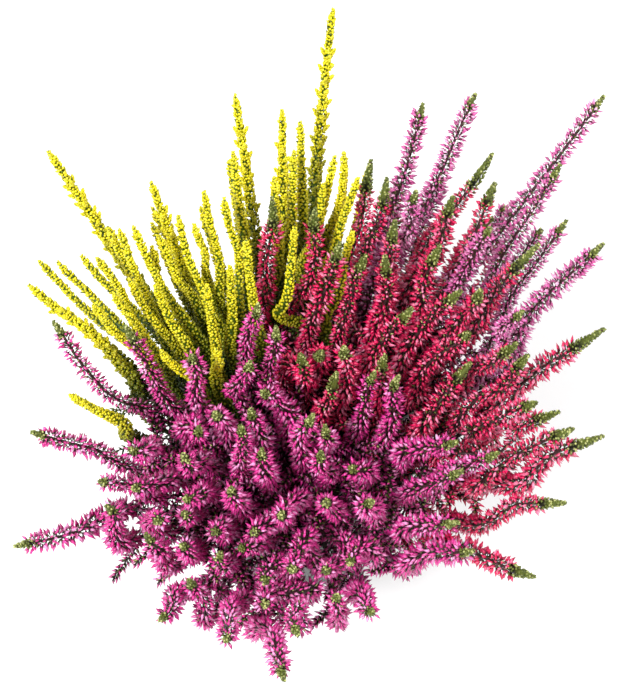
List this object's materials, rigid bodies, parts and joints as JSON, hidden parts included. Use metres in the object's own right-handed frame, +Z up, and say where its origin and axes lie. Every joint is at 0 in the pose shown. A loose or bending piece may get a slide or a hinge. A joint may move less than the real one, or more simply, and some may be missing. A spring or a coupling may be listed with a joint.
{
  "type": "potted heather",
  "caption": "Mixed potted heather: slender yellow-leaved shoots behind, pink, crimson and magenta bud sprays with green tips around, in a plain round nursery pot.",
  "frame": {"origin": "the middle of the pot's flat underside, which rests on the surface", "axes": "+Z up along the pot's axis; -Y towards the front, where the magenta shoots are; +X to the right seen from the front"},
  "size_m": [0.2237, 0.2516, 0.2346],
  "materials": {
    "pot_plastic": "satin",
    "compost": "matte",
    "yellow_heather": "matte",
    "pink_heather": "satin",
    "crimson_heather": "satin",
    "magenta_heather": "satin"
  },
  "bodies": {
    "root": {"pot": "pot_plastic", "soil": "compost", "yellow_branch_01": "yellow_heather", "yellow_branch_02": "yellow_heather", "yellow_branch_03": "yellow_heather", "yellow_branch_04": "yellow_heather", "yellow_branch_05": "yellow_heather", "yellow_branch_06": "yellow_heather", "yellow_branch_07": "yellow_heather", "yellow_branch_08": "yellow_heather", "yellow_branch_09": "yellow_heather", "yellow_branch_10": "yellow_heather", "yellow_branch_11": "yellow_heather", "yellow_branch_12": "yellow_heather", "yellow_branch_13": "yellow_heather", "yellow_branch_14": "yellow_heather", "yellow_branch_15": "yellow_heather", "yellow_branch_16": "yellow_heather", "yellow_branch_17": "yellow_heather", "pink_branch_01": "pink_heather", "pink_branch_02": "pink_heather", "pink_branch_03": "pink_heather", "pink_branch_04": "pink_heather", "crimson_branch_01": "crimson_heather", "crimson_branch_02": "crimson_heather", "crimson_branch_03": "crimson_heather", "crimson_branch_04": "crimson_heather", "crimson_branch_05": "crimson_heather", "crimson_branch_06": "crimson_heather", "crimson_branch_07": "crimson_heather", "crimson_branch_08": "crimson_heather", "crimson_branch_09": "crimson_heather", "crimson_branch_10": "crimson_heather", "crimson_branch_11": "crimson_heather", "crimson_branch_12": "crimson_heather", "crimson_branch_13": "crimson_heather", "crimson_branch_14": "crimson_heather", "crimson_branch_15": "crimson_heather", "crimson_branch_16": "crimson_heather", "magenta_branch_01": "magenta_heather", "magenta_branch_02": "magenta_heather", "magenta_branch_03": "magenta_heather", "magenta_branch_04": "magenta_heather", "magenta_branch_05": "magenta_heather", "magenta_branch_06": "magenta_heather", "magenta_branch_07": "magenta_heather", "magenta_branch_08": "magenta_heather", "magenta_branch_09": "magenta_heather", "magenta_branch_10": "magenta_heather", "magenta_branch_11": "magenta_heather", "magenta_branch_12": "magenta_heather", "magenta_branch_13": "magenta_heather", "magenta_branch_14": "magenta_heather", "magenta_branch_15": "magenta_heather", "magenta_branch_16": "magenta_heather", "magenta_branch_17": "magenta_heather", "magenta_branch_18": "magenta_heather", "magenta_branch_19": "magenta_heather", "magenta_branch_20": "magenta_heather", "magenta_branch_21": "magenta_heather"}
  },
  "joints": []
}
